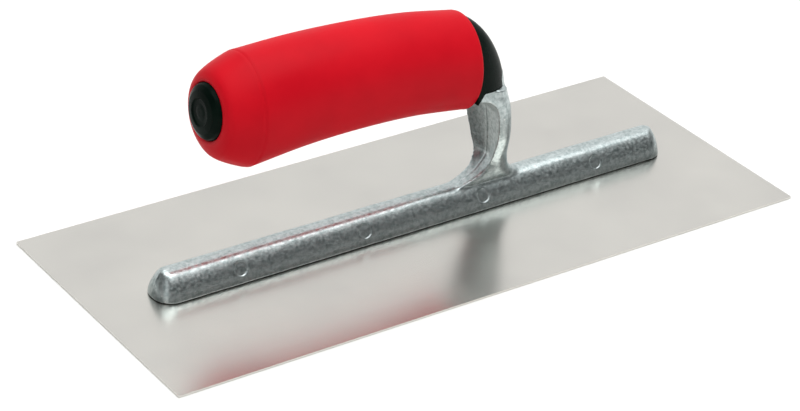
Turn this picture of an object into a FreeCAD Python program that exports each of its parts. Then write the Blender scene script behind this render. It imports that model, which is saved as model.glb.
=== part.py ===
import FreeCAD, Part
import math
import os

import Sketcher

# Flat finishing trowel, millimetres. The blade's underside lies on Z = 0, centred on the origin.
# X runs along the blade towards its front end, Y across it, Z up through the handle.

App = FreeCAD
Vector = App.Vector
os.makedirs("parts", exist_ok=True)
doc = App.newDocument("Trowel")

# ---------------------------------------------------------------- driving sizes
sizes = [
    # blade, a flat tempered strip
    ("bladeLength", 280.0), ("bladeWidth", 120.0), ("bladeThick", 0.8), ("bladeCorner", 0.6),
    # back bar, the long cast foot that stiffens the blade
    ("barLength", 233.4), ("barWidth", 16.9), ("barHeight", 10.4), ("barCorner", 6.5),
    ("barDraft", 25.0), ("barTopRound", 2.4), ("barFootChamfer", 0.4),
    # countersunk rivets through the blade into the bar
    ("rivetPitch", 50.0), ("rivetShank", 2.4), ("rivetHead", 4.0), ("rivetDepth", 7.2),
    ("rivetFit", 0.03),
    # shallow round ejector marks on one side of the bar
    ("markPitch", 55.0), ("markRadius", 2.7), ("markRise", 5.6), ("markDepth", 0.45),
    # post: inner face, outer face and half width of the strap are set per station below
    ("postInnerRound", 1.6), ("postFlat", 0.4),
    # seat on the post's head that the handle stands on
    ("seatBreakX", 20.0), ("seatBreakZ", 55.3), ("seatFrontFall", 11.0), ("seatBackFall", 41.0),
    ("tongueRadius", 7.5), ("tongueDrop", 4.3), ("tongueThick", 3.4),
    # tang, cast inside the handle: it ends short of the grip's crease
    ("tangShort", 18.3), ("tangAxisZ", 68.0), ("tangFrontX", 23.0),
    ("tangFrontHalfWidth", 5.6), ("tangFrontHalfHeight", 5.4),
    ("tangEndHalfWidth", 4.8), ("tangEndHalfHeight", 5.0),
    ("neckBackGap", 0.3), ("neckRoot", 3.6), ("tangFit", 0.15), ("cutMargin", 1.0),
    # front collar: part of an ellipsoid
    ("collarBack", 16.1), ("noseX", -0.6), ("noseZ", 45.1),
    ("noseLength", 37.8), ("noseHalfWidth", 16.0), ("noseHeight", 43.6),
    # grip
    ("gripLength", 96.7), ("tailLength", 13.6), ("sleeveWall", 3.2), ("tailCoreLength", 11.4),
    ("tailCoreRim", 1.2),
    # end cap and the screw behind it
    ("capFromCrease", 13.2), ("capZ", 71.5), ("capTilt", 5.7), ("capRadius", 10.6),
    ("capSeatDepth", 3.2), ("capRise", 3.8), ("capShoulder", 2.6), ("capShoulderZ", 2.7),
    ("capEdge", 0.8), ("capEdgeZ", 1.6), ("capLip", 0.6), ("capDishRadius", 5.4),
    ("capDishDepth", 0.6), ("capDishSlope", 0.5),
    ("capSkirtRadius", 7.9), ("capSkirtWall", 1.5), ("capSkirtLength", 6.0), ("capFit", 0.08),
    ("boreRadius", 8.2), ("headBoreDepth", 10.0), ("capBoreDepth", 20.0), ("webWall", 4.0),
    ("screwRadius", 3.0), ("screwLength", 22.0), ("screwHeadRadius", 5.0), ("screwHeadHeight", 4.0),
    ("screwSocket", 2.9), ("screwSocketDepth", 2.4), ("screwFit", 0.2),
    ("washerRadius", 6.6), ("washerThick", 1.2),
]

# Post stations: share of the way from the bar's top up to the seat, inner face X, outer face X,
# half width.
postStations = [
    ("Foot", -0.041, 14.0, 50.0, 3.1),
    ("Sole", 0.0, 19.5, 47.6, 3.9),
    ("Toe", 0.034, 23.4, 45.0, 4.5),
    ("Instep", 0.063, 26.0, 43.2, 5.0),
    ("Neck", 0.098, 28.0, 41.9, 5.4),
    ("Stem", 0.2, 30.2, 40.6, 6.4),
    ("Flare", 0.336, 30.3, 38.8, 9.3),
    ("Middle", 0.494, 29.8, 37.1, 11.8),
    ("Upper", 0.676, 28.7, 36.2, 12.9),
    ("Head", 0.789, 27.5, 35.7, 13.1),
    ("Cove", 0.848, 25.6, 35.6, 13.0),
    ("Ledge", 0.884, 22.0, 35.5, 12.7),
    ("Shelf", 0.907, 16.4, 35.5, 12.6),
    ("Crown", 1.039, 16.4, 35.2, 12.4),
]

# Grip stations: share of the grip's length behind the front rim, centre height, half width,
# half height.
gripStations = [
    ("Front", 0.0, 65.2, 16.1, 19.7),
    ("Fore", 0.25, 69.0, 16.9, 20.1),
    ("Waist", 0.5, 70.6, 17.7, 20.5),
    ("Aft", 0.75, 70.7, 18.3, 21.2),
    ("Crease", 1.0, 69.2, 18.8, 22.0),
]

# Tail stations: share of the tail's length behind the crease, centre height, half width, half height.
tailStations = [
    ("Cone", 0.45, 69.8, 17.2, 19.4),
    ("ConeEnd", 0.80, 70.4, 15.4, 16.7),
    ("Shoulder", 0.94, 71.1, 13.9, 14.4),
    ("Rim", 1.0, 71.5, 12.1, 12.2),
]

for name, share, inner, outer, half in postStations:
    sizes += [("post%sShare" % name, share), ("post%sInner" % name, inner)]
    sizes += [("post%sOuter" % name, outer), ("post%sHalf" % name, half)]
for prefix, stations in (("grip", gripStations), ("tail", tailStations)):
    for name, share, height, halfWidth, halfHeight in stations:
        key = prefix + name
        sizes += [(key + "Share", share), (key + "Z", height)]
        sizes += [(key + "HalfWidth", halfWidth), (key + "HalfHeight", halfHeight)]

sheet = doc.addObject("Spreadsheet::Sheet", "Sizes")
for row, (alias, value) in enumerate(sizes, start=1):
    sheet.set("A%d" % row, alias)
    sheet.set("B%d" % row, repr(value))
    sheet.setAlias("B%d" % row, alias)
doc.recompute()


def S(text):
    """Expression text in which every word that is a sheet alias points at the sheet."""
    out, word = "", ""
    for letter in text + " ":
        if letter.isalnum():
            word += letter
        else:
            out += ("Sizes." + word if word in aliases else word) + letter
            word = ""
    return out.strip()


aliases = {alias for alias, _ in sizes}
directions = {"X": Vector(1, 0, 0), "Y": Vector(0, 1, 0), "Z": Vector(0, 0, 1)}
heldAngle = 10.0  # a rotation keeps its axis only while its angle isn't zero
levelWithin = 1e-4
rivets = (1, 2, 3, 4, 5)
markShares = (-1.5, -0.5, 0.5, 1.5)


# ---------------------------------------------------------------- small helpers
def bind(obj, links):
    """Ties each property to an expression on the sheet."""
    for prop, text in links.items():
        obj.setExpression(prop, S(text))
    return obj


def place(obj, x="0", y="0", z="0", axis=None, angle=None):
    """Puts an object at a point, turned about one axis by an angle in degrees."""
    if axis:
        obj.Placement = App.Placement(Vector(), App.Rotation(directions[axis], heldAngle))
        obj.setExpression("Placement.Rotation.Angle", "(" + S(angle) + ") * 1deg")
    return bind(obj, {"Placement.Base.x": x, "Placement.Base.y": y, "Placement.Base.z": z})


def primitive(kind, name, links, **where):
    return place(bind(doc.addObject("Part::" + kind, name), links), **where)


def join(kind, name, shapes):
    """Fuse or Common of several shapes."""
    obj = doc.addObject("Part::Multi" + kind, name)
    obj.Shapes = shapes
    return obj


def cut(name, base, tools):
    obj = doc.addObject("Part::Cut", name)
    obj.Base = base
    obj.Tool = tools[0] if len(tools) == 1 else join("Fuse", name + "Tools", tools)
    return obj


def bodyPlane(body, role):
    return next(f for f in body.Origin.OriginFeatures if f.Role == role)


def sketchOn(body, name, role, height="0"):
    sketch = body.newObject("Sketcher::SketchObject", name)
    sketch.AttachmentSupport = [(bodyPlane(body, role), "")]
    sketch.MapMode = "FlatFace"
    sketch.setExpression("AttachmentOffset.Base.z", S(height))
    return sketch


def dimension(sketch, kind, refs, text):
    """A driving dimension whose value comes from the sheet."""
    value = float(sketch.evalExpression(S(text)))
    index = sketch.addConstraint(Sketcher.Constraint(kind, *refs, value))
    sketch.setExpression("Constraints[%d]" % index, S(text))


def outline(sketch, points):
    """Closed straight-sided outline: each corner is a pair of expressions."""
    at = [Vector(*[float(sketch.evalExpression(S(c))) for c in p], 0) for p in points]
    count = len(at)
    for i in range(count):
        sketch.addGeometry(Part.LineSegment(at[i], at[(i + 1) % count]), False)
    for i, (x, y) in enumerate(points):
        sketch.addConstraint(Sketcher.Constraint("Coincident", i, 2, (i + 1) % count, 1))
        dimension(sketch, "DistanceX", (-1, 1, i, 1), x)
        dimension(sketch, "DistanceY", (-1, 1, i, 1), y)


def roundedOutline(sketch, low, high, half, lowRound, highRound):
    """Outline from low to high along the first axis and half each side of it, corners rounded."""
    a, b, w, r, q = [float(sketch.evalExpression(S(t))) for t in (low, high, half, lowRound, highRound)]
    centres = [(b - q, q - w, q, -90), (b - q, w - q, q, 0), (a + r, w - r, r, 90), (a + r, r - w, r, 180)]
    arcs = []
    for x, y, radius, start in centres:
        circle = Part.Circle(Vector(x, y, 0), Vector(0, 0, 1), radius)
        arcs.append(Part.ArcOfCircle(circle, math.radians(start), math.radians(start + 90)))
    for i, arc in enumerate(arcs):
        sketch.addGeometry(arc, False)
        following = arcs[(i + 1) % 4]
        sketch.addGeometry(Part.LineSegment(arc.EndPoint, following.StartPoint), False)
    for i in range(0, 8, 2):
        sketch.addConstraint(Sketcher.Constraint("Tangent", i, 2, i + 1, 1))
        sketch.addConstraint(Sketcher.Constraint("Tangent", i + 1, 2, (i + 2) % 8, 1))
    for line, kind in ((1, "Vertical"), (3, "Horizontal"), (5, "Vertical"), (7, "Horizontal")):
        sketch.addConstraint(Sketcher.Constraint(kind, line))
    sketch.addConstraint(Sketcher.Constraint("Symmetric", 3, 1, 7, 2, -1))
    sketch.addConstraint(Sketcher.Constraint("Equal", 4, 6))
    dimension(sketch, "DistanceX", (-1, 1, 5, 1), low)
    dimension(sketch, "DistanceX", (-1, 1, 1, 1), high)
    dimension(sketch, "DistanceY", (-1, 1, 3, 1), half)
    dimension(sketch, "Radius", (0,), highRound)
    dimension(sketch, "Radius", (4,), lowRound)


def newBody(name):
    return doc.addObject("PartDesign::Body", name)


def pad(body, sketch, length, middle=False, draft=None):
    feature = body.newObject("PartDesign::Pad", sketch.Name + "Pad")
    feature.Profile = sketch
    feature.setExpression("Length", S(length))
    feature.Midplane = middle
    if draft:
        feature.setExpression("TaperAngle", "(" + S(draft) + ") * -1deg")
    return feature


def levelEdges(shape, height):
    """Names of the edges that lie wholly at one height."""
    found = []
    for number, edge in enumerate(shape.Edges, start=1):
        box = edge.BoundBox
        if abs(box.ZMin - height) < levelWithin and abs(box.ZMax - height) < levelWithin:
            found.append("Edge%d" % number)
    return found


def ring(name, x, z, halfWidth, halfHeight, tilt="0"):
    """Upright ellipse across the handle's length, leaning forwards by tilt degrees."""
    links = {"MajorRadius": "max(%s; %s)" % (halfHeight, halfWidth), "MinorRadius": halfWidth}
    return primitive("Ellipse", name, links, x=x, z=z, axis="Y", angle="%s - 90" % tilt)


def loft(name, rings):
    obj = doc.addObject("Part::Loft", name)
    obj.Sections = rings
    obj.Solid = True
    return obj


# ---------------------------------------------------------------- blade
def makeBlade():
    body = newBody("BladeBody")
    sketch = sketchOn(body, "BladeOutline", "XY_Plane")
    roundedOutline(sketch, "-bladeLength / 2", "bladeLength / 2", "bladeWidth / 2",
                   "bladeCorner", "bladeCorner")
    pad(body, sketch, "bladeThick")
    return cut("Blade", body, [rivetCone("BladeSink%d" % n, n, "rivetFit") for n in rivets])


def rivetX(number):
    """Rivets are spread evenly about the middle of the bar."""
    return "rivetPitch * %d" % (number - (len(rivets) + 1) / 2)


def rivetCone(name, number, fit="0"):
    """Countersunk head: widest at the blade's underside, shank size at its top face."""
    links = {"Radius1": "rivetHead + " + fit, "Radius2": "rivetShank + " + fit, "Height": "bladeThick"}
    return primitive("Cone", name, links, x=rivetX(number))


def makeRivet(number):
    head = rivetCone("RivetHead%d" % number, number)
    shank = primitive("Cylinder", "RivetShank%d" % number,
                      {"Radius": "rivetShank", "Height": "rivetDepth"},
                      x=rivetX(number), z="bladeThick")
    return join("Fuse", "Rivet%d" % number, [head, shank])


# ---------------------------------------------------------------- mounting: bar, post and tang
def makeBar():
    """Long foot with drafted sides, round ends and a rounded top."""
    body = newBody("BarBody")
    sketch = sketchOn(body, "BarOutline", "XY_Plane", "bladeThick")
    roundedOutline(sketch, "-barLength / 2", "barLength / 2", "barWidth / 2", "barCorner", "barCorner")
    block = pad(body, sketch, "barHeight", draft="barDraft")
    doc.recompute()
    top = body.newObject("PartDesign::Fillet", "BarTopRound")
    top.Base = (block, levelEdges(block.Shape, sheet.bladeThick + sheet.barHeight))
    top.setExpression("Radius", S("barTopRound"))
    doc.recompute()
    foot = body.newObject("PartDesign::Chamfer", "BarFootChamfer")
    foot.Base = (top, levelEdges(top.Shape, sheet.bladeThick))
    foot.setExpression("Size", S("barFootChamfer"))
    return body


def makePost():
    """Strap that leaves the bar narrow and deep, and reaches the handle wide and thin."""
    body = newBody("PostBody")
    barTop = "bladeThick + barHeight"
    sections = []
    for name, *_ in postStations:
        key = "post" + name
        height = "%s + %sShare * (seatBreakZ - %s)" % (barTop, key, "(" + barTop + ")")
        sketch = sketchOn(body, name + "Section", "XY_Plane", height)
        front = "min(%sOuter - %sInner - postInnerRound - postFlat; %sHalf - postFlat)" % (key, key, key)
        roundedOutline(sketch, key + "Inner", key + "Outer", key + "Half", "postInnerRound", front)
        sections.append(sketch)
    strap = body.newObject("PartDesign::AdditiveLoft", "Strap")
    strap.Profile = sections[-1]
    strap.Sections = sections[-2::-1]
    strap.Ruled = True
    return body


def makeSeatSpace():
    """Everything above the seat line, which falls gently forwards and steeply backwards."""
    body = newBody("SeatSpaceBody")
    sketch = sketchOn(body, "SeatLine", "XZ_Plane")
    back, front, top = "-noseLength / 2", "2 * noseLength", "3 * noseHeight"
    outline(sketch, [
        (back, "seatBreakZ - (seatBreakX - (%s)) * tan(seatBackFall * 1deg)" % back),
        ("seatBreakX", "seatBreakZ"),
        (front, "seatBreakZ - (%s - seatBreakX) * tan(seatFrontFall * 1deg)" % front),
        (front, top),
        (back, top),
    ])
    pad(body, sketch, "4 * noseHalfWidth", middle=True)
    return body


def nose(name):
    """The rounded front end of the handle, about a point low behind it."""
    links = {"Radius1": "noseHeight", "Radius2": "noseLength", "Radius3": "noseHalfWidth"}
    return primitive("Ellipsoid", name, links, x="noseX", z="noseZ")


def tongue(name, fit="0"):
    """Half-round lip of the casting that laps up the front of the collar."""
    disc = primitive("Cylinder", name + "Disc", {"Radius": "tongueRadius + " + fit, "Height": "noseLength"},
                     x="noseX + noseLength - tongueThick - %s" % fit,
                     z="seatBreakZ - tongueDrop",
                     axis="Y", angle="90")
    return join("Common", name, [disc, nose(name + "Face"), doc.SeatSpaceBody])


def tang(name, fit="0"):
    """Tapered tongue that runs back inside the handle, and the neck that carries it."""
    half = {"Front": "tangFrontHalf%s + " + fit, "End": "tangEndHalf%s + " + fit}
    wide = {key: text % "Width" for key, text in half.items()}
    high = {key: text % "Height" for key, text in half.items()}
    links = {
        "Xmin": "-(%s)" % wide["Front"], "Xmax": wide["Front"], "X2min": "-(%s)" % wide["End"],
        "X2max": wide["End"], "Zmin": "-(%s)" % high["Front"], "Zmax": high["Front"],
        "Z2min": "-(%s)" % high["End"], "Z2max": high["End"], "Ymin": "-(%s)" % fit,
        "Ymax": "tangFrontX - collarBack + gripLength - tangShort + " + fit,
    }
    bar = primitive("Wedge", name + "Taper", links, x="tangFrontX", z="tangAxisZ", axis="Z", angle="90")
    back = "collarBack + neckBackGap" if fit == "0" else "collarBack - cutMargin"
    neck = primitive("Box", name + "Neck", {
        "Length": "tangFrontX + %s - (%s)" % (fit, back),
        "Width": "2 * (%s)" % wide["Front"],
        "Height": "tangAxisZ - seatBreakZ + neckRoot",
    }, x=back, y="-(%s)" % wide["Front"], z="seatBreakZ - neckRoot")
    return join("Fuse", name, [bar, neck])


def ejectorMark(number, share):
    """Shallow round sinking, square to the bar's drafted side."""
    side = "barWidth / 2 - markRise * tan(barDraft * 1deg)"
    return primitive("Cylinder", "Mark%d" % number, {"Radius": "markRadius", "Height": "barWidth / 2"},
                     x="markPitch * %s" % share,
                     y="-(%s) + markDepth * cos(barDraft * 1deg)" % side,
                     z="bladeThick + markRise - markDepth * sin(barDraft * 1deg)",
                     axis="X", angle="90 - barDraft")


def makeMounting():
    head = cut("PostTrimmed", makePost(), [makeSeatSpace()])
    solid = join("Fuse", "Casting", [makeBar(), head, tongue("Tongue"), tang("Tang")])
    holes = [primitive("Cylinder", "RivetHole%d" % n,
                       {"Radius": "rivetShank + rivetFit", "Height": "rivetDepth + rivetFit"},
                       x=rivetX(n), z="bladeThick") for n in rivets]
    holes += [ejectorMark(n, share) for n, share in enumerate(markShares, start=1)]
    holes.append(screwCylinder("TangHole", "screwRadius + rivetFit", "screwLength - webWall", "0"))
    return cut("Mounting", solid, holes)


# ---------------------------------------------------------------- handle
def gripX(share):
    return "collarBack - gripLength * " + share


def tailX(share):
    return "collarBack - gripLength - tailLength * " + share


def gripSections(name, wall="0"):
    """Elliptical sections from the front rim back to the crease, moved in by a wall."""
    rings = []
    for station, *_ in gripStations:
        key = "grip" + station
        rings.append(ring(name + station, gripX(key + "Share"), key + "Z",
                          key + "HalfWidth - " + wall, key + "HalfHeight - " + wall))
    return rings


def makeOuterShape():
    """Outside of the soft sleeve: a bowed barrel, a crease and a coned tail."""
    barrelRings = gripSections("Outer")
    barrel = loft("OuterBarrel", barrelRings)
    tailRings = [barrelRings[-1]]
    for station, *_ in tailStations:
        key = "tail" + station
        tailRings.append(ring("OuterTail" + station, tailX(key + "Share"), key + "Z",
                              key + "HalfWidth", key + "HalfHeight"))
    return join("Fuse", "OuterShape", [barrel, loft("OuterTail", tailRings)])


def makeCoreShape():
    """Outside of the hard core: the same barrel one wall further in, with a short round tail."""
    barrelRings = gripSections("Inner", "sleeveWall")
    end = ring("InnerTailEnd", "collarBack - gripLength - tailCoreLength", "capZ",
               "capRadius + tailCoreRim", "capRadius + tailCoreRim")
    tail = loft("InnerTail", [barrelRings[-1], end])
    return join("Fuse", "CoreShape", [loft("InnerBarrel", barrelRings), tail])


def capAxis(name, radius, low, height):
    """Cylinder on the end cap's leaning axis: low is measured outwards from the cap's rim."""
    lean = "capTilt * 1deg"
    return primitive("Cylinder", name, {"Radius": radius, "Height": height},
                     x="collarBack - gripLength - capFromCrease - (%s) * cos(%s)" % (low, lean),
                     z="capZ + (%s) * sin(%s)" % (low, lean), axis="Y", angle="capTilt - 90")


def screwCylinder(name, radius, length, behind):
    """Cylinder on the tang's axis that runs forwards from a distance behind the tang's end."""
    return primitive("Cylinder", name, {"Radius": radius, "Height": length},
                     x="collarBack - gripLength + tangShort - (%s)" % behind, z="tangAxisZ",
                     axis="Y", angle="90")


def capSeat(name):
    """Room for the cap's flange, open to the rear."""
    return capAxis(name, "capRadius + capFit", "-capSeatDepth - capFit", "capSeatDepth + tailLength")


def makeCore():
    """Hard inner grip with the tang's socket, the screw's hole and a bore from the rear."""
    bore = "webWall + tangFit"
    tools = [
        tang("TangSpace", "tangFit"),
        screwCylinder("ScrewSpace", "screwRadius + screwFit", bore + " + cutMargin", bore),
        screwCylinder("HeadBore", "boreRadius", "headBoreDepth", bore + " + headBoreDepth"),
        capAxis("CapBore", "boreRadius", "-capBoreDepth", "capBoreDepth + capSeatDepth"),
        capSeat("CoreCapSeat"),
    ]
    return cut("Core", makeCoreShape(), tools)


def makeSleeve():
    """Soft skin moulded over the core."""
    return cut("Sleeve", makeOuterShape(), [doc.CoreShape, capSeat("SleeveCapSeat")])


def makeCollar():
    """Hard cap over the neck: it stands on the seat and butts against the grip's front end."""
    region = primitive("Box", "CollarRegion", {
        "Length": "2 * noseLength", "Width": "4 * noseHalfWidth", "Height": "2 * noseHeight",
    }, x="collarBack", y="-2 * noseHalfWidth", z="noseZ")
    block = join("Common", "CollarBlock", [nose("Nose"), region, doc.SeatSpaceBody])
    return cut("Collar", block, [tang("NeckSpace", "tangFit"), tongue("TongueSpace", "tangFit")])


# ---------------------------------------------------------------- end cap, screw and washer
def makeCap():
    """Domed plug turned about its own axis: skirt in the core, flange in its seat, dish on top."""
    body = newBody("CapBody")
    sketch = sketchOn(body, "CapProfile", "XZ_Plane")
    inner, low = "capSkirtRadius - capSkirtWall", "-capSeatDepth - capSkirtLength"
    outline(sketch, [
        ("0", "-capSeatDepth"), (inner, "-capSeatDepth"), (inner, low), ("capSkirtRadius", low),
        ("capSkirtRadius", "-capSeatDepth"), ("capRadius", "-capSeatDepth"), ("capRadius", "0"),
        ("capRadius - capEdge", "capEdgeZ"), ("capRadius - capShoulder", "capShoulderZ"),
        ("capDishRadius + capLip", "capRise"), ("capDishRadius", "capRise"),
        ("capDishRadius - capDishSlope", "capRise - capDishDepth"), ("0", "capRise - capDishDepth"),
    ])
    turned = body.newObject("PartDesign::Revolution", "CapTurned")
    turned.Profile = sketch
    turned.ReferenceAxis = (sketch, ["V_Axis"])
    turned.Angle = 360
    return place(body, x="collarBack - gripLength - capFromCrease", z="capZ",
                 axis="Y", angle="capTilt - 90")


def makeWasher():
    behind = "webWall + tangFit + washerThick"
    disc = screwCylinder("WasherDisc", "washerRadius", "washerThick", behind)
    hole = screwCylinder("WasherHole", "screwRadius + screwFit", "washerThick", behind)
    return cut("Washer", disc, [hole])


def makeScrew():
    seat = "webWall + tangFit + washerThick"
    head = screwCylinder("ScrewHead", "screwHeadRadius", "screwHeadHeight", seat + " + screwHeadHeight")
    shank = screwCylinder("ScrewShank", "screwRadius", "screwLength", seat)
    socket = primitive("Prism", "ScrewSocket",
                       {"Circumradius": "screwSocket", "Height": "screwSocketDepth"},
                       x="collarBack - gripLength + tangShort - (%s) - screwHeadHeight" % seat,
                       z="tangAxisZ",
                       axis="Y", angle="90")
    socket.Polygon = 6
    return cut("Screw", join("Fuse", "ScrewSolid", [head, shank]), [socket])


# ---------------------------------------------------------------- build, check and write
nodes = {"blade": makeBlade()}
for number in rivets:
    nodes["blade_rivet_%d" % number] = makeRivet(number)
nodes["mounting"] = makeMounting()
nodes["handle_core"] = makeCore()
nodes["grip_sleeve"] = makeSleeve()
nodes["front_collar"] = makeCollar()
nodes["end_cap"] = makeCap()
nodes["tang_washer"] = makeWasher()
nodes["tang_screw"] = makeScrew()
for label, obj in nodes.items():
    obj.Label = label
doc.recompute()

for obj in doc.Objects:
    failed = [word for word in obj.State if word in ("Invalid", "Error")]
    if failed:
        raise SystemExit("%s did not compute: %s" % (obj.Name, obj.getStatusString()))
for label, obj in nodes.items():
    shape = obj.Shape
    if shape.isNull() or not shape.isValid() or len(shape.Solids) != 1:
        raise SystemExit("%s: null %s, valid %s, solids %d" % (
            label, shape.isNull(), shape.isValid(), len(shape.Solids)))
    print("%-16s volume %10.1f  box %s" % (label, shape.Volume, shape.BoundBox))
    shape.exportStep("parts/%s.step" % label)
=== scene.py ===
import math

import bmesh
import bpy
from mathutils import Matrix, Vector, noise


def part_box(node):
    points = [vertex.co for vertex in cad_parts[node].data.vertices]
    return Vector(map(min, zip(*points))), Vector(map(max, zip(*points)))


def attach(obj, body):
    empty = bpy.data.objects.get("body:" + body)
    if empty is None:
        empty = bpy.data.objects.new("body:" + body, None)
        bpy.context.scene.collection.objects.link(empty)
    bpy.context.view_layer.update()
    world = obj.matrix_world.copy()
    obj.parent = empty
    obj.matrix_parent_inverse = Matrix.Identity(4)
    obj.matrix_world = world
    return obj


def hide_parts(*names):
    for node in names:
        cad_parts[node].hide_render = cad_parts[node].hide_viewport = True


mm = 0.001  # metres in a millimetre

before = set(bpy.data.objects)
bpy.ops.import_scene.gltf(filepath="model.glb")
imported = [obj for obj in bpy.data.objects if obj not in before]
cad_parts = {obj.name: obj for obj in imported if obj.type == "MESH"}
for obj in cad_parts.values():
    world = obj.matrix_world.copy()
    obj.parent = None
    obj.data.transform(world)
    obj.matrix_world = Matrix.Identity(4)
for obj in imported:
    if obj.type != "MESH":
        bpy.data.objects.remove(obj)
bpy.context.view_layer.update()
print("frame loaded:", len(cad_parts), "CAD nodes")


# colours and nodes

def hexColour(text):
    channels = [int(text[i:i + 2], 16) / 255 for i in (1, 3, 5)]
    return [c / 12.92 if c <= 0.04045 else ((c + 0.055) / 1.055) ** 2.4 for c in channels] + [1.0]


def addNode(tree, kind, settings=None, links=None):
    node = tree.nodes.new(kind)
    for name, value in (settings or {}).items():
        if isinstance(name, str) and hasattr(node, name):
            setattr(node, name, value)
        else:
            node.inputs[name].default_value = value
    for name, source in (links or {}).items():
        tree.links.new(source, node.inputs[name])
    return node


def rampStops(ramp, stops):
    # stops: place along the ramp and colour
    elements = ramp.color_ramp.elements
    while len(elements) > len(stops):
        elements.remove(elements[-1])
    for i, (place, colour) in enumerate(stops):
        element = elements[i] if i < len(elements) else elements.new(place)
        element.position = place
        element.color = hexColour(colour) if isinstance(colour, str) else (colour, colour, colour, 1)
    return ramp


def newMaterial(name, settings):
    material = bpy.data.materials.new(name)
    material.use_nodes = True
    tree = material.node_tree
    tree.nodes.clear()
    shader = addNode(tree, "ShaderNodeBsdfPrincipled", settings)
    addNode(tree, "ShaderNodeOutputMaterial", None, {"Surface": shader.outputs[0]})
    place = addNode(tree, "ShaderNodeTexCoord").outputs["Object"]
    return material, tree, shader, place


def perMetre(sizeInMm):
    # noise scale whose features are about this size
    return 1 / (sizeInMm * mm)


# meshes

def makeObject(name, points, faces):
    mesh = bpy.data.meshes.new(name)
    mesh.from_pydata([Vector(p) * mm for p in points], [], faces)
    build = bmesh.new()
    build.from_mesh(mesh)
    bmesh.ops.recalc_face_normals(build, faces=build.faces)
    build.to_mesh(mesh)
    build.free()
    mesh.shade_smooth()
    item = bpy.data.objects.new(name, mesh)
    bpy.context.scene.collection.objects.link(item)
    return item


def makeLoft(name, rings):
    # closed rings with the same number of points, joined in order, ends filled
    count = len(rings[0])
    points = [p for ring in rings for p in ring]
    faces = []
    for r in range(len(rings) - 1):
        for i in range(count):
            j = (i + 1) % count
            faces.append((r * count + i, r * count + j, (r + 1) * count + j, (r + 1) * count + i))
    last = (len(rings) - 1) * count
    faces.append(tuple(range(count)))
    faces.append(tuple(last + i for i in range(count)))
    return makeObject(name, points, faces)


def applyModifiers(item):
    graph = bpy.context.evaluated_depsgraph_get()
    graph.update()
    mesh = bpy.data.meshes.new_from_object(item.evaluated_get(graph))
    item.modifiers.clear()
    item.data = mesh
    return item


def combine(item, tool, operation):
    step = item.modifiers.new(operation.lower(), "BOOLEAN")
    step.operation = operation
    step.solver = "EXACT"
    step.object = tool
    applyModifiers(item)
    bpy.data.objects.remove(tool)
    return item


def joinMeshes(name, items):
    build = bmesh.new()
    for item in items:
        build.from_mesh(item.data)
        bpy.data.objects.remove(item)
    mesh = bpy.data.meshes.new(name)
    build.to_mesh(mesh)
    build.free()
    item = bpy.data.objects.new(name, mesh)
    bpy.context.scene.collection.objects.link(item)
    return item


def roundedPath(corners, steps):
    # corners: two coordinates and a round, which becomes a short curve between its tangent points
    path = []
    for i, (a, b, size) in enumerate(corners):
        here = Vector((a, b))
        if size == 0 or i in (0, len(corners) - 1):
            path.append(here)
            continue
        before = (Vector(corners[i - 1][:2]) - here).normalized()
        after = (Vector(corners[i + 1][:2]) - here).normalized()
        reach = size / math.tan(before.angle(after) / 2)
        start, end = here + before * reach, here + after * reach
        for k in range(steps + 1):
            t = k / steps
            path.append(start * (1 - t) ** 2 + here * 2 * t * (1 - t) + end * t * t)
    return path


def alongStations(stations, place):
    # smooth curve through rows of numbers, read at a place given as the rows' first number
    last = len(stations) - 1
    k = 0
    while k < last - 1 and place > stations[k + 1][0]:
        k += 1
    rows = [stations[min(max(i, 0), last)] for i in (k - 1, k, k + 1, k + 2)]
    width = rows[2][0] - rows[1][0]
    t = (place - rows[1][0]) / width
    values = []
    for column in range(1, len(rows[0])):
        p = [row[column] for row in rows]
        slopes = []
        for i in (1, 2):
            run = rows[i + 1][0] - rows[i - 1][0]
            slopes.append((p[i + 1] - p[i - 1]) / run * width)
        values.append((2 * t ** 3 - 3 * t ** 2 + 1) * p[1] + (t ** 3 - 2 * t ** 2 + t) * slopes[0]
                      + (3 * t ** 2 - 2 * t ** 3) * p[2] + (t ** 3 - t ** 2) * slopes[1])
    return values


def smoothStep(low, high, value):
    t = min(max((value - low) / (high - low), 0), 1)
    return t * t * (3 - 2 * t)


def movePoints(item, push):
    # push gives how far in mm each point goes out along its normal
    normals = [Vector(n.vector) for n in item.data.vertex_normals]
    for vertex, normal in zip(item.data.vertices, normals):
        vertex.co += normal * push(vertex.co / mm) * mm
    item.data.update()


def finishPiece(item, material, slot, *nodes):
    item.data.materials.clear()
    item.data.materials.append(material)
    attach(item, "root")
    if nodes:
        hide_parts(*nodes)
    print("piece:", item.name, len(item.data.polygons), "faces")


def paintNode(node, material):
    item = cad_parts[node]
    item.data.materials.clear()
    item.data.materials.append(material)


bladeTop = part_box("blade")[1].z / mm


# materials

brushedSteel = {
    "colour": "#D8D6D0", "dullColour": "#CFCDC8", "roughness": 0.24, "roughnessSpread": 0.03,
    "lineWidth": 0.45, "lineLength": 60, "lineDepth": 0.007, "cloudSize": 45,
}


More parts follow.
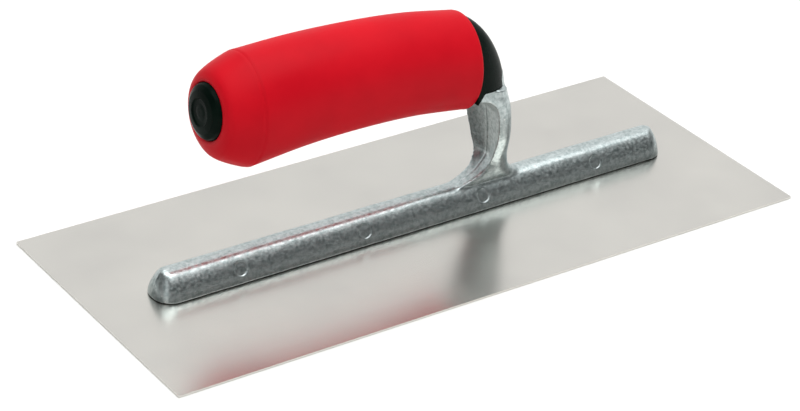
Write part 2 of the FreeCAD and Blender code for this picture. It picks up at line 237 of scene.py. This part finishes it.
def temperedSteelSatinGround():
    # tempered carbon steel, belt ground lengthwise: a satin mirror that blurs more across its fine lines
    m = brushedSteel
    material, tree, shader, place = newMaterial("temperedSteelSatinGround", {"Metallic": 1.0})
    across = perMetre(m["lineWidth"])
    stretch = addNode(tree, "ShaderNodeMapping", {"Scale": (perMetre(m["lineLength"]), across, across)},
                      {"Vector": place})
    # real grinding lines are about 0.05 mm apart; they are drawn this coarse so that they show
    lines = addNode(tree, "ShaderNodeTexNoise", {"Scale": 1.0, "Detail": 3.0, "Roughness": 0.6},
                    {"Vector": stretch.outputs[0]})
    clouds = addNode(tree, "ShaderNodeTexNoise", {"Scale": perMetre(m["cloudSize"]), "Detail": 4.0},
                     {"Vector": place})
    tone = rampStops(addNode(tree, "ShaderNodeValToRGB", None, {"Fac": clouds.outputs["Fac"]}),
                     [(0.3, m["dullColour"]), (0.7, m["colour"])])
    tree.links.new(tone.outputs[0], shader.inputs["Base Color"])
    both = addNode(tree, "ShaderNodeMath", {"operation": "ADD"},
                   {0: lines.outputs["Fac"], 1: clouds.outputs["Fac"]})
    rough = addNode(tree, "ShaderNodeMapRange", {
        "From Min": 0.6, "From Max": 1.4, "To Min": m["roughness"] - m["roughnessSpread"],
        "To Max": m["roughness"] + m["roughnessSpread"]}, {"Value": both.outputs[0]})
    tree.links.new(rough.outputs[0], shader.inputs["Roughness"])
    bump = addNode(tree, "ShaderNodeBump", {"Strength": 0.5, "Distance": m["lineDepth"] * mm},
                   {"Height": lines.outputs["Fac"]})
    tree.links.new(bump.outputs[0], shader.inputs["Normal"])
    return material


castAluminium = {
    "colour": "#C8D1D1", "stainColour": "#A3B0B0", "edgeColour": "#E4E6E4", "roughness": 0.37,
    "roughnessSpread": 0.08, "skinSize": 1.1, "skinDepth": 0.025, "grainSize": 0.5, "grainDepth": 0.018,
    # the last two entries are painted shade: a near-black colour in the seam with the blade, fading out over
    # this height in mm
    "stainSize": 1.5, "seamShadeColour": "#1B1A17", "seamShadeHeight": 0.75,
}


def dieCastAluminium():
    # die cast and tumbled: a pale skin with soft dimples, grey stains, and edges rubbed brighter
    m = castAluminium
    material, tree, shader, place = newMaterial("dieCastAluminium", {"Metallic": 1.0})
    skin = addNode(tree, "ShaderNodeTexNoise", {"Scale": perMetre(m["skinSize"]), "Detail": 3.0},
                   {"Vector": place})
    grain = addNode(tree, "ShaderNodeTexNoise", {"Scale": perMetre(m["grainSize"]), "Detail": 2.0},
                    {"Vector": place})
    stains = addNode(tree, "ShaderNodeTexNoise", {"Scale": perMetre(m["stainSize"]), "Detail": 5.0,
                                                  "Roughness": 0.65}, {"Vector": place})
    tone = rampStops(addNode(tree, "ShaderNodeValToRGB", None, {"Fac": stains.outputs["Fac"]}),
                     [(0.36, m["stainColour"]), (0.58, m["colour"])])
    bends = addNode(tree, "ShaderNodeNewGeometry").outputs["Pointiness"]
    edges = rampStops(addNode(tree, "ShaderNodeValToRGB", None, {"Fac": bends}),
                      [(0.53, 0.0), (0.66, 1.0)])
    worn = addNode(tree, "ShaderNodeMix", {"data_type": "RGBA", 7: hexColour(m["edgeColour"])},
                   {0: edges.outputs[0], 6: tone.outputs[0]})
    # painted shade: near the blade the colour fades to near black, standing in for the shadow in the seam
    # between casting and blade
    high = addNode(tree, "ShaderNodeSeparateXYZ", None, {"Vector": place})
    aboveSeamShade = addNode(tree, "ShaderNodeMapRange", {
        "From Min": bladeTop * mm, "From Max": (bladeTop + m["seamShadeHeight"]) * mm,
        "interpolation_type": "SMOOTHSTEP"}, {"Value": high.outputs["Z"]})
    withSeamShade = addNode(tree, "ShaderNodeMix", {"data_type": "RGBA", 6: hexColour(m["seamShadeColour"])},
                     {0: aboveSeamShade.outputs[0], 7: worn.outputs[2]})
    tree.links.new(withSeamShade.outputs[2], shader.inputs["Base Color"])
    rough = addNode(tree, "ShaderNodeMapRange", {
        "From Min": 0.35, "From Max": 0.65, "To Min": m["roughness"] - m["roughnessSpread"],
        "To Max": m["roughness"] + m["roughnessSpread"]}, {"Value": skin.outputs["Fac"]})
    tree.links.new(rough.outputs[0], shader.inputs["Roughness"])
    fine = addNode(tree, "ShaderNodeBump", {"Strength": 0.6, "Distance": m["grainDepth"] * mm},
                   {"Height": grain.outputs["Fac"]})
    coarse = addNode(tree, "ShaderNodeBump", {"Strength": 0.8, "Distance": m["skinDepth"] * mm},
                     {"Height": skin.outputs["Fac"], "Normal": fine.outputs[0]})
    tree.links.new(coarse.outputs[0], shader.inputs["Normal"])
    return material


softGrip = {
    "colour": "#C60F1F", "warmColour": "#D01322", "roughness": 0.46, "roughnessSpread": 0.06,
    "specular": 0.06, "grainSize": 0.5, "grainDepth": 0.02, "cloudSize": 22,
}


def mouldedThermoplasticRubber():
    # thermoplastic rubber moulded in a spark-eroded tool: full red, satin, with a fine even grain
    m = softGrip
    material, tree, shader, place = newMaterial("mouldedThermoplasticRubber", {
        "IOR": 1.5, "Specular IOR Level": m["specular"]})
    grain = addNode(tree, "ShaderNodeTexNoise", {"Scale": perMetre(m["grainSize"]), "Detail": 2.0},
                    {"Vector": place})
    clouds = addNode(tree, "ShaderNodeTexNoise", {"Scale": perMetre(m["cloudSize"]), "Detail": 3.0},
                     {"Vector": place})
    tone = rampStops(addNode(tree, "ShaderNodeValToRGB", None, {"Fac": clouds.outputs["Fac"]}),
                     [(0.35, m["colour"]), (0.65, m["warmColour"])])
    tree.links.new(tone.outputs[0], shader.inputs["Base Color"])
    rough = addNode(tree, "ShaderNodeMapRange", {
        "From Min": 0.3, "From Max": 0.7, "To Min": m["roughness"] - m["roughnessSpread"],
        "To Max": m["roughness"] + m["roughnessSpread"]}, {"Value": clouds.outputs["Fac"]})
    tree.links.new(rough.outputs[0], shader.inputs["Roughness"])
    bump = addNode(tree, "ShaderNodeBump", {"Strength": 0.5, "Distance": m["grainDepth"] * mm},
                   {"Height": grain.outputs["Fac"]})
    tree.links.new(bump.outputs[0], shader.inputs["Normal"])
    return material


hardPlastic = {
    "colour": "#07110D", "paleColour": "#0C1813", "roughness": 0.26, "roughnessSpread": 0.07,
    "specular": 0.025, "grainSize": 0.7, "grainDepth": 0.012, "cloudSize": 9,
}


def mouldedPolypropylene():
    # polypropylene moulded in a lightly polished tool: near black with a green cast, soft broad shine
    m = hardPlastic
    material, tree, shader, place = newMaterial("mouldedPolypropylene", {
        "IOR": 1.49, "Specular IOR Level": m["specular"]})
    grain = addNode(tree, "ShaderNodeTexNoise", {"Scale": perMetre(m["grainSize"]), "Detail": 3.0},
                    {"Vector": place})
    clouds = addNode(tree, "ShaderNodeTexNoise", {"Scale": perMetre(m["cloudSize"]), "Detail": 4.0},
                     {"Vector": place})
    tone = rampStops(addNode(tree, "ShaderNodeValToRGB", None, {"Fac": clouds.outputs["Fac"]}),
                     [(0.35, m["colour"]), (0.65, m["paleColour"])])
    tree.links.new(tone.outputs[0], shader.inputs["Base Color"])
    rough = addNode(tree, "ShaderNodeMapRange", {
        "From Min": 0.3, "From Max": 0.7, "To Min": m["roughness"] - m["roughnessSpread"],
        "To Max": m["roughness"] + m["roughnessSpread"]}, {"Value": clouds.outputs["Fac"]})
    tree.links.new(rough.outputs[0], shader.inputs["Roughness"])
    bump = addNode(tree, "ShaderNodeBump", {"Strength": 0.5, "Distance": m["grainDepth"] * mm},
                   {"Height": grain.outputs["Fac"]})
    tree.links.new(bump.outputs[0], shader.inputs["Normal"])
    return material


platedSteel = {"colour": "#C6C8C4", "roughness": 0.30, "roughnessSpread": 0.08, "crystalSize": 1.5}


def zincPlatedSteel():
    # bright zinc plate over turned steel: pale grey with a faint crystal mottle
    m = platedSteel
    material, tree, shader, place = newMaterial("zincPlatedSteel", {
        "Metallic": 1.0, "Base Color": hexColour(m["colour"])})
    crystals = addNode(tree, "ShaderNodeTexVoronoi", {"Scale": perMetre(m["crystalSize"])},
                       {"Vector": place})
    rough = addNode(tree, "ShaderNodeMapRange", {
        "To Min": m["roughness"] - m["roughnessSpread"],
        "To Max": m["roughness"] + m["roughnessSpread"]}, {"Value": crystals.outputs["Color"]})
    tree.links.new(rough.outputs[0], shader.inputs["Roughness"])
    return material


steelFinish = temperedSteelSatinGround()
aluminiumFinish = dieCastAluminium()
gripFinish = mouldedThermoplasticRubber()
plasticFinish = mouldedPolypropylene()
zincFinish = zincPlatedSteel()
print("materials made")


# handle front: an ellipsoid, and the seat line it stands on

nose = {"x": -0.6, "z": 45.1, "length": 37.8, "halfWidth": 16.0, "height": 43.6}
seat = {"breakX": 20.0, "breakZ": 55.3, "frontFall": 11.0, "backFall": 41.0}


def seatHeight(x):
    fall = seat["frontFall"] if x > seat["breakX"] else seat["backFall"]
    return seat["breakZ"] - abs(x - seat["breakX"]) * math.tan(math.radians(fall))


def noseSection(x):
    # half width and height of the ellipse that the nose has at x
    share = math.sqrt(max(0.0, 1 - ((x - nose["x"]) / nose["length"]) ** 2))
    return nose["halfWidth"] * share, nose["height"] * share


def noseFront(y, z, proud=0.0):
    # x of the nose's surface over a point of the cross plane
    away = (y / (nose["halfWidth"] + proud)) ** 2 + ((z - nose["z"]) / (nose["height"] + proud)) ** 2
    return nose["x"] + (nose["length"] + proud) * math.sqrt(max(0.0, 1 - away))


# casting: bar, post, tongue and tang in one

bar = {
    "back": -116.4, "front": 117.2, "width": 16.9, "height": 10.4, "footChamfer": 0.3, "footLip": 0.06,
    # how far each end leans in, as a share of how far the sides do
    "backSteepness": 0.7, "frontSteepness": 0.42,
    "backCorner": 7.4, "frontCorner": 6.3, "cornerLoss": 0.55, "leastCorner": 0.8, "leastFlat": 0.05,
    # angles in degrees of the outward face: nearly upright at the blade, rolling over to the crest
    "footAngle": 84, "shoulderAngle": 43, "sideRadius": 14.66, "shoulderRadius": 4.5,
    "cornerSteps": 10, "sideSteps": 16, "shoulderSteps": 8,
}
barTop = bladeTop + bar["height"]


def barRing(inset, height):
    back = bar["back"] + bar["backSteepness"] * inset
    front = bar["front"] - bar["frontSteepness"] * inset
    halfWidth = bar["width"] / 2 - inset
    ring = []
    for quarter, (sx, sy) in enumerate(((1, 1), (-1, 1), (-1, -1), (1, -1))):
        corner = bar["frontCorner"] if sx > 0 else bar["backCorner"]
        radius = max(corner - bar["cornerLoss"] * inset, bar["leastCorner"])
        radius = min(radius, halfWidth - bar["leastFlat"])
        centre = front - radius if sx > 0 else back + radius
        for k in range(bar["cornerSteps"] + 1):
            angle = math.radians(90 * (quarter + k / bar["cornerSteps"]))
            ring.append((centre + radius * math.cos(angle),
                         sy * (halfWidth - radius) + radius * math.sin(angle), bladeTop + height))
    return ring


def makeBar():
    # the side is one large arc up to the shoulder, then a small arc onto the crest
    foot, shoulder = math.radians(bar["footAngle"]), math.radians(bar["shoulderAngle"])
    large, small = bar["sideRadius"], bar["shoulderRadius"]
    profile = [(bar["footChamfer"], 0.0), (bar["footLip"], bar["footChamfer"])]
    for k in range(1, bar["sideSteps"] + 1):
        angle = foot + (shoulder - foot) * k / bar["sideSteps"]
        profile.append((large * (math.sin(foot) - math.sin(angle)),
                        large * (math.cos(angle) - math.cos(foot))))
    inset, height = profile[-1]
    for k in range(1, bar["shoulderSteps"] + 1):
        angle = shoulder * (1 - k / bar["shoulderSteps"])
        profile.append((inset + small * (math.sin(shoulder) - math.sin(angle)),
                        height + small * (math.cos(angle) - math.cos(shoulder))))
    return makeLoft("bar", [barRing(inset, height) for inset, height in profile])


# height above the bar, inner face, outer face and half width of the strap
postStations = [
    (-1.8, 12.0, 50.0, 3.4),
    (0.0, 18.5, 47.0, 4.2),
    (1.5, 22.8, 44.6, 4.8),
    (2.8, 25.6, 43.0, 5.2),
    (4.3, 27.8, 41.9, 5.6),
    (8.8, 30.2, 40.8, 6.6),
    (14.8, 30.3, 39.6, 9.3),
    (21.8, 29.8, 38.6, 11.8),
    (29.8, 28.7, 37.8, 12.9),
    (34.8, 27.5, 37.0, 12.9),
    (37.4, 25.6, 36.4, 12.4),
    (39.0, 22.0, 36.0, 12.0),
    (40.0, 16.4, 35.8, 11.7),
    (45.8, 16.4, 35.2, 10.6),
]
post = {
    "rings": 90, "frontPoints": 40, "innerPoints": 22, "frontPower": 2.6, "frontReach": 10.0,
    "straightShare": 0.08, "pinch": 0.12, "pinchReach": 0.4, "scoopDepth": 2.0, "scoopPower": 1.2,
    "scoopLow": 3.0, "scoopRise": 8.0, "scoopHigh": 36.0, "scoopFade": 5.0,
}


def postRing(height):
    inner, outer, half = alongStations(postStations, height)
    rise = smoothStep(post["scoopLow"], post["scoopLow"] + post["scoopRise"], height)
    fade = smoothStep(post["scoopHigh"] - post["scoopFade"], post["scoopHigh"], height)
    scoop = post["scoopDepth"] * rise * (1 - fade)
    power = 2 / post["frontPower"]
    reach = min(outer - inner, post["frontReach"])
    ring = []
    for i in range(post["frontPoints"] + 1):
        angle = math.pi * (i / post["frontPoints"] - 0.5)
        across, along = math.sin(angle), math.cos(angle)
        back = abs(along) ** power
        # the rims turn in towards the inner face
        narrow = 1 - post["pinch"] * (1 - smoothStep(0, post["pinchReach"], back))
        # behind the rounded front the side runs straight
        straight = (outer - inner - reach) * (1 - smoothStep(0, post["straightShare"], back))
        ring.append((outer - reach * (1 - back) - straight,
                     narrow * half * math.copysign(abs(across) ** power, across), barTop + height))
    for i in range(1, post["innerPoints"]):
        share = 1 - 2 * i / post["innerPoints"]
        ring.append((inner + scoop * (1 - share * share) ** post["scoopPower"],
                     (1 - post["pinch"]) * half * share, barTop + height))
    return ring


def makePost():
    low, high = postStations[0][0], postStations[-1][0]
    rings = [postRing(low + (high - low) * i / post["rings"]) for i in range(post["rings"] + 1)]
    strap = makeLoft("post", rings)
    # everything above the seat line is taken off
    reach, top, side = 30.0, 90.0, 30.0
    line = [seat["breakX"] - reach, seat["breakX"], seat["breakX"] + reach]
    outline = [(x, seatHeight(x)) for x in line] + [(line[2], top), (line[0], top)]
    above = makeLoft("aboveSeat", [[(x, y, z) for x, z in outline] for y in (-side, side)])
    return combine(strap, above, "DIFFERENCE")


tongue = {
    "halfWidth": 7.2, "low": 51.0, "top": 58.4, "proud": 0.22, "thick": 2.6, "ovalPower": 0.6,
    "rings": 14, "spokes": 64,
}


def tongueRing(share, depth):
    # squarish oval, so that the sides stand upright
    middle, reach = (tongue["top"] + tongue["low"]) / 2, (tongue["top"] - tongue["low"]) / 2
    ring = []
    for i in range(tongue["spokes"]):
        angle = 2 * math.pi * i / tongue["spokes"]
        across, up = math.cos(angle), math.sin(angle)
        y = share * tongue["halfWidth"] * math.copysign(abs(across) ** tongue["ovalPower"], across)
        z = middle + share * reach * math.copysign(abs(up) ** tongue["ovalPower"], up)
        ring.append((noseFront(y, z, tongue["proud"]) - depth, y, z))
    return ring


def makeTongue():
    shares = [(i + 1) / tongue["rings"] for i in range(tongue["rings"])]
    face = [tongueRing(share, 0) for share in shares]
    back = [tongueRing(share, tongue["thick"]) for share in reversed(shares)]
    return makeLoft("tongue", face + back)


tang = {
    "axisZ": 68.0, "front": 23.0, "end": -62.3, "frontHalf": (5.6, 5.4), "endHalf": (4.8, 5.0),
    "neckBack": 16.4, "neckLow": 51.7,
}


def boxRing(x, halfWidth, low, high):
    return [(x, -halfWidth, low), (x, halfWidth, low), (x, halfWidth, high), (x, -halfWidth, high)]


def makeTang():
    (frontWide, frontHigh), (endWide, endHigh) = tang["frontHalf"], tang["endHalf"]
    z = tang["axisZ"]
    taper = makeLoft("taper", [boxRing(tang["front"], frontWide, z - frontHigh, z + frontHigh),
                               boxRing(tang["end"], endWide, z - endHigh, z + endHigh)])
    ends = (tang["neckBack"], tang["front"])
    neck = makeLoft("neck", [boxRing(x, frontWide, tang["neckLow"], z) for x in ends])
    return [taper, neck]


# four round sinkings along the near side
ejectorMarks = {
    "count": 4, "pitch": 55.0, "radius": 2.7, "rise": 5.6, "depth": 0.36, "wallIn": 0.3, "wallOut": 0.1,
    "faceAngle": 65, "sideFrom": 3.0,
}
partingLine = {"rise": 0.16, "halfWidth": 0.35, "reach": 1.2, "clear": 2.0}
castSkin = {"voxel": 0.35, "easing": 0.5, "smoothing": 8, "swellSize": 9.0, "swellDepth": 0.10}
# where the post runs into the bar the skin is eased much more, fading out at the edges of the stretch
joint = {
    "smoothing": 70, "middle": 31.0, "reach": 27.0, "reachFade": 6.0, "top": 7.0, "topFade": 4.0,
    "bottom": -6.0, "bottomFade": 3.0,
}


def markSinking(point):
    faceRise = math.sin(math.radians(ejectorMarks["faceAngle"]))
    up = (point.z - bladeTop - ejectorMarks["rise"]) / faceRise
    inner = ejectorMarks["radius"] - ejectorMarks["wallIn"]
    outer = ejectorMarks["radius"] + ejectorMarks["wallOut"]
    sinking = 0.0
    for i in range(ejectorMarks["count"]):
        middle = (i - (ejectorMarks["count"] - 1) / 2) * ejectorMarks["pitch"]
        away = math.hypot(point.x - middle, up)
        sinking += ejectorMarks["depth"] * (1 - smoothStep(inner, outer, away))
    return sinking


def castingPush(point):
    push = castSkin["swellDepth"] * noise.noise(point / castSkin["swellSize"])
    if abs(point.y) < partingLine["reach"] and point.z > bladeTop + partingLine["clear"]:
        push += partingLine["rise"] * math.exp(-(point.y / partingLine["halfWidth"]) ** 2)
    if point.y < -ejectorMarks["sideFrom"]:
        push -= markSinking(point)
    return push


def jointWeight(point):
    above, aside = point.z - barTop, abs(point.x - joint["middle"])
    return (smoothStep(joint["bottom"], joint["bottom"] + joint["bottomFade"], above)
            * (1 - smoothStep(joint["top"] - joint["topFade"], joint["top"], above))
            * (1 - smoothStep(joint["reach"] - joint["reachFade"], joint["reach"], aside)))


def makeCasting():
    item = joinMeshes("castMounting", [makeBar(), makePost(), makeTongue(), *makeTang()])
    skin = item.modifiers.new("skin", "REMESH")
    skin.mode = "VOXEL"
    skin.voxel_size = castSkin["voxel"] * mm
    ease = item.modifiers.new("ease", "SMOOTH")
    ease.factor, ease.iterations = castSkin["easing"], castSkin["smoothing"]
    applyModifiers(item)
    group = item.vertex_groups.new(name="joint")
    for vertex in item.data.vertices:
        weight = jointWeight(vertex.co / mm)
        if weight > 0:
            group.add([vertex.index], weight, "REPLACE")
    blend = item.modifiers.new("blend", "SMOOTH")
    blend.factor, blend.iterations = castSkin["easing"], joint["smoothing"]
    blend.vertex_group = group.name
    applyModifiers(item)
    item.data.shade_smooth()
    movePoints(item, castingPush)
    return item


finishPiece(makeCasting(), aluminiumFinish, "cast_aluminium", "mounting")


# front collar

collar = {
    "back": 16.1, "tipCut": 0.5, "edge": 0.3, "rows": 60, "points": 72, "halvings": 40,
    # rows stand closer towards the tip; angles in degrees
    "rowPower": 1.6, "edgeAngle": 35, "shadeAngle": 50,
}


def noseTip():
    # where the nose runs out above the seat line
    low, high = collar["back"], nose["x"] + nose["length"]
    for _ in range(collar["halvings"]):
        middle = (low + high) / 2
        if nose["z"] + noseSection(middle)[1] > seatHeight(middle):
            low = middle
        else:
            high = middle
    return low


def makeCollar():
    start, end = collar["back"], noseTip() - collar["tipCut"]
    build = bmesh.new()
    rows = []
    for i in range(collar["rows"] + 1):
        x = start + (end - start) * (1 - (1 - i / collar["rows"]) ** collar["rowPower"])
        halfWidth, height = noseSection(x)
        first = math.asin((seatHeight(x) - nose["z"]) / height)
        row = []
        for k in range(collar["points"] + 1):
            angle = first + (math.pi - 2 * first) * k / collar["points"]
            point = Vector((x, halfWidth * math.cos(angle), nose["z"] + height * math.sin(angle)))
            row.append(build.verts.new(point * mm))
        rows.append(row)
    for row, following in zip(rows, rows[1:]):
        for k in range(collar["points"]):
            build.faces.new((row[k], row[k + 1], following[k + 1], following[k]))
        build.faces.new((row[-1], row[0], following[0], following[-1]))
    build.faces.new(rows[0])
    build.faces.new(list(reversed(rows[-1])))
    bmesh.ops.recalc_face_normals(build, faces=build.faces)
    sharp = [e for e in build.edges if e.calc_face_angle() > math.radians(collar["edgeAngle"])]
    bmesh.ops.bevel(build, geom=sharp, offset=collar["edge"] * mm, segments=3, profile=0.5,
                    affect="EDGES", clamp_overlap=True)
    mesh = bpy.data.meshes.new("frontCollar")
    build.to_mesh(mesh)
    build.free()
    mesh.shade_smooth()
    mesh.set_sharp_from_angle(angle=math.radians(collar["shadeAngle"]))
    item = bpy.data.objects.new("frontCollar", mesh)
    bpy.context.scene.collection.objects.link(item)
    return item


finishPiece(makeCollar(), plasticFinish, "hard_plastic", "front_collar")


# grip sleeve

grip = {
    "front": 16.1, "length": 96.7, "tail": 13.6, "wall": 3.2, "boreDepth": 6.0, "frontRound": 1.1,
    # the front rim laps the collar, and the lap runs out over this share of the length
    "lap": 0.5, "lapShare": 0.25,
    "creaseLean": 0.04, "tailLean": 0.1, "tailStart": 0.07, "tailPower": 0.85,
    # the crease is a groove: its near wall, wall depth and floor are shares of its width and depth
    "grooveDepth": 0.3, "grooveWidth": 0.9, "nearWall": 0.4, "wallDepth": 0.8, "floorPlace": 0.3,
    "points": 128, "roundRows": 6, "roundClear": 1.5, "bodyRows": 90, "tailRows": 30,
}
# share of the barrel's length, centre height, half width, half height
barrelStations = [
    (0.0, 65.2, 16.1, 19.7),
    (0.25, 69.0, 16.9, 20.1),
    (0.5, 70.6, 17.7, 20.5),
    (0.75, 70.7, 18.3, 21.1),
    (1.0, 69.2, 18.8, 22.0),
]
tailStations = [
    (0.0, 69.2, 18.8, 22.0),
    (0.45, 69.8, 17.2, 19.4),
    (0.8, 70.4, 15.4, 16.7),
    (0.94, 71.1, 13.9, 14.4),
    (1.0, 71.5, 12.1, 12.2),
]
cap = {
    "fromCrease": 13.2, "z": 71.5, "tilt": 5.7, "radius": 10.6, "seatDepth": 3.2, "fit": 0.1,
    "rimWidth": 0.4, "rimOut": 0.5, "rimIn": 0.2,
}
creaseX = grip["front"] - grip["length"]


def sleeveRing(x, z, halfWidth, halfHeight, lean=0.0, inward=0.0):
    ring = []
    for i in range(grip["points"]):
        angle = 2 * math.pi * i / grip["points"]
        rise = (halfHeight - inward) * math.sin(angle)
        ring.append((x + lean * rise, (halfWidth - inward) * math.cos(angle), z + rise))
    return ring


def barrelRing(share, forward=0.0, inward=0.0):
    z, halfWidth, halfHeight = alongStations(barrelStations, share)
    lap = grip["lap"] * max(0.0, 1 - share / grip["lapShare"])
    x = grip["front"] + lap - grip["length"] * share + forward
    return sleeveRing(x, z, halfWidth, halfHeight, grip["creaseLean"] * share ** 3, inward)


def capRing(radius, height):
    # a circle about the cap's tilted axis, height out from its seat
    lean = math.radians(cap["tilt"])
    out = Vector((-math.cos(lean), 0, math.sin(lean)))
    up = Vector((math.sin(lean), 0, math.cos(lean)))
    side = Vector((0, 1, 0))
    centre = Vector((creaseX - cap["fromCrease"], 0, cap["z"])) + out * height
    ring = []
    for i in range(grip["points"]):
        angle = 2 * math.pi * i / grip["points"]
        ring.append(centre + side * radius * math.cos(angle) + up * radius * math.sin(angle))
    return ring


def makeSleeve():
    # from the bore out round the front rim, along the barrel, over the crease and down to the cap's seat
    rings = [barrelRing(0, -grip["boreDepth"], grip["wall"]), barrelRing(0, 0, grip["wall"])]
    size = grip["frontRound"]
    for k in range(grip["roundRows"] + 1):
        angle = math.radians(90 * k / grip["roundRows"])
        rings.append(barrelRing(0, -size * (1 - math.cos(angle)), size * (1 - math.sin(angle))))
    first = grip["roundClear"] * size / grip["length"]
    last = 1 - grip["nearWall"] * grip["grooveWidth"] / grip["length"]
    for i in range(grip["bodyRows"] + 1):
        rings.append(barrelRing(first + (last - first) * i / grip["bodyRows"]))
    rings.append(barrelRing(1.0, 0, grip["wallDepth"] * grip["grooveDepth"]))
    rings.append(barrelRing(1.0, -grip["floorPlace"] * grip["grooveWidth"], grip["grooveDepth"]))
    for i in range(grip["tailRows"] + 1):
        share = grip["tailStart"] + (1 - grip["tailStart"]) * (i / grip["tailRows"]) ** grip["tailPower"]
        z, halfWidth, halfHeight = alongStations(tailStations, share)
        lean = grip["creaseLean"] + (grip["tailLean"] - grip["creaseLean"]) * share
        rings.append(sleeveRing(creaseX - grip["tail"] * share, z, halfWidth, halfHeight, lean))
    bore = cap["radius"] + cap["fit"]
    rings.append(capRing(bore + cap["rimWidth"], cap["rimOut"]))
    rings.append(capRing(bore, cap["rimIn"]))
    rings.append(capRing(bore, -cap["seatDepth"] - cap["fit"]))
    return makeLoft("gripSleeve", rings)


finishPiece(makeSleeve(), gripFinish, "soft_grip", "grip_sleeve")


# end cap: radius, height and round of each corner, from under the seat over the dome to its dish

capProfile = [
    (0.05, -3.15, 0), (cap["radius"] - 0.1, -3.15, 0.1), (cap["radius"], 0.5, 0.4),
    (9.9, 1.8, 0.8), (8.0, 2.9, 0.9), (6.0, 3.3, 0.5), (5.3, 3.4, 0.15), (4.8, 2.9, 0.2),
    (3.1, 2.8, 0.6), (1.8, 3.0, 0.5), (0.05, 3.05, 0),
]
capRoundSteps = 4


def makeCap():
    path = roundedPath(capProfile, capRoundSteps)
    return makeLoft("endCap", [capRing(radius, height) for radius, height in path])


finishPiece(makeCap(), plasticFinish, "hard_plastic", "end_cap")


# CAD pieces that are shown as they are

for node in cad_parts:
    if node == "blade" or node.startswith("blade_rivet"):
        paintNode(node, steelFinish)
    elif node.startswith("tang_"):
        paintNode(node, zincFinish)
    elif node == "handle_core":
        paintNode(node, plasticFinish)
print("CAD pieces painted")


# floor, light and camera

# in metres and watts
studio = {
    "floorColour": "#F4F4F2", "floorShade": "#F2F2F0", "floorSize": 30.0, "floorDrop": 0.00005,
    "glowToward": (0.47, 0.87, 0.1), "glowFrom": -0.05, "glowTo": 0.85, "nearGlow": 0.09, "farGlow": 0.95,
}
softboxes = {
    "softboxTop": {"place": (0.08, -0.18, 1.45), "size": (1.6, 1.6), "power": 27.5},
    "softboxLeft": {"place": (-0.95, -0.65, 0.4), "size": (0.25, 0.8), "power": 0.9},
}
view = {
    "azimuth": -36.0122, "elevation": 29.5891, "roll": 3.1208, "lens": 120.87, "sensor": 36.0,
    "place": (-0.531791, -0.721512, 0.515158),
}


def makeFloor():
    half = studio["floorSize"] / 2 / mm
    corners = [(-half, -half, 0), (half, -half, 0), (half, half, 0), (-half, half, 0)]
    item = makeObject("floor", corners, [(0, 1, 2, 3)])
    # matt white paint on board: even, with a barely seen roller mottle 4 mm across
    material, tree, shader, place = newMaterial("rolledMattPaint", {"Roughness": 0.9, "IOR": 1.3})
    mottle = addNode(tree, "ShaderNodeTexNoise", {"Scale": perMetre(4), "Detail": 2.0}, {"Vector": place})
    tone = rampStops(addNode(tree, "ShaderNodeValToRGB", None, {"Fac": mottle.outputs["Fac"]}),
                     [(0.3, studio["floorShade"]), (0.7, studio["floorColour"])])
    tree.links.new(tone.outputs[0], shader.inputs["Base Color"])
    item.data.materials.append(material)
    item.location.z = -studio["floorDrop"]


def makeWorld():
    world = bpy.data.worlds.new("studioSurround")
    bpy.context.scene.world = world
    world.use_nodes = True
    tree = world.node_tree
    tree.nodes.clear()
    direction = addNode(tree, "ShaderNodeTexCoord").outputs["Generated"]
    # bright beyond the object, dim on the near side
    toward = addNode(tree, "ShaderNodeVectorMath", {"operation": "DOT_PRODUCT", 1: studio["glowToward"]},
                     {0: direction})
    glow = addNode(tree, "ShaderNodeMapRange", {
        "From Min": studio["glowFrom"], "From Max": studio["glowTo"], "To Min": studio["nearGlow"],
        "To Max": studio["farGlow"], "interpolation_type": "SMOOTHSTEP"}, {"Value": toward.outputs["Value"]})
    back = addNode(tree, "ShaderNodeBackground", {"Color": (1, 1, 1, 1)}, {"Strength": glow.outputs[0]})
    addNode(tree, "ShaderNodeOutputWorld", None, {"Surface": back.outputs[0]})


def addSoftbox(name, place, size, power):
    light = bpy.data.lights.new(name, "AREA")
    light.shape = "RECTANGLE"
    light.size, light.size_y = size
    light.energy = power
    item = bpy.data.objects.new(name, light)
    bpy.context.scene.collection.objects.link(item)
    item.location = place
    item.rotation_euler = (-Vector(place)).to_track_quat("-Z", "Y").to_euler()


def addCamera():
    data = bpy.data.cameras.new("camera")
    data.sensor_width, data.lens = view["sensor"], view["lens"]
    item = bpy.data.objects.new("camera", data)
    bpy.context.scene.collection.objects.link(item)
    turn = (Matrix.Rotation(math.radians(view["azimuth"]), 4, "Z")
            @ Matrix.Rotation(math.radians(90 - view["elevation"]), 4, "X")
            @ Matrix.Rotation(math.radians(view["roll"]), 4, "Z"))
    item.matrix_world = Matrix.Translation(view["place"]) @ turn
    bpy.context.scene.camera = item


makeFloor()
makeWorld()
for name, box in softboxes.items():
    addSoftbox(name, box["place"], box["size"], box["power"])
addCamera()
bpy.context.scene.view_settings.view_transform = "Standard"
print("stage set")
